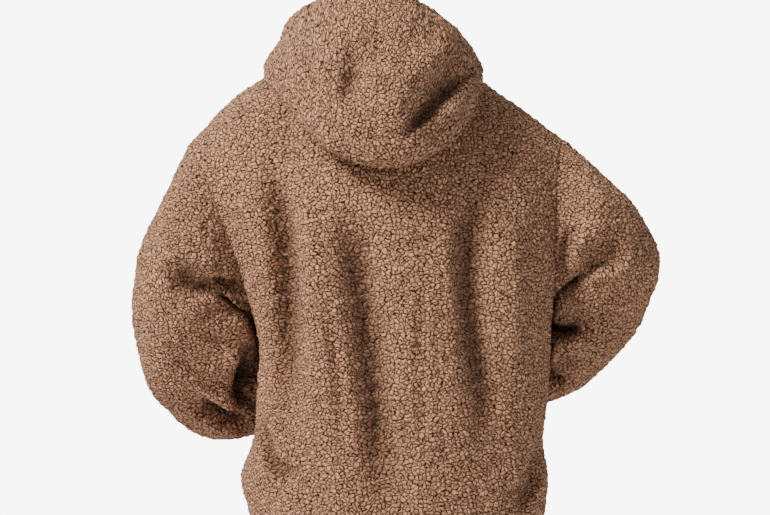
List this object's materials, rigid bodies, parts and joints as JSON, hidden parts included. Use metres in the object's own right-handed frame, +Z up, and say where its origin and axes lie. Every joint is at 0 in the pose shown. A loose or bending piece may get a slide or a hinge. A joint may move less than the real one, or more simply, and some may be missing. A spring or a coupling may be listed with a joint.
{
  "type": "hooded fleece jacket",
  "caption": "Worn, hollow hooded pile-fleece jacket with drop shoulders, a full front zip, the hood down on the back and both forearms brought to the front.",
  "frame": {"origin": "middle of the neck opening, level with the wearer's shoulders that hold the jacket up", "axes": "+Z up, -Y towards the jacket's front, +X towards the wearer's left"},
  "size_m": [0.8202, 0.3991, 0.84],
  "materials": {
    "sherpa": "curly brown pile, matt",
    "zip_tape": "dark brown woven tape",
    "zip_metal": "dull antique brass"
  },
  "bodies": {
    "jacket": {"back": "sherpa", "front_left": "sherpa", "front_right": "sherpa", "sleeve_left": "sherpa", "sleeve_right": "sherpa", "hood_left": "sherpa", "hood_right": "sherpa", "zip_tape_left": "zip_tape", "zip_tape_right": "zip_tape", "zip_slider": "zip_metal"},
    "pull": {"zip_pull": "zip_metal"}
  },
  "joints": [
    {"name": "pull_hinge", "type": "hinge", "parent": "jacket", "child": "pull", "pos_m": [0.00781, -0.10215, -0.06792], "axis": [-1, 0, 0], "range_deg": [0, 150]}
  ]
}
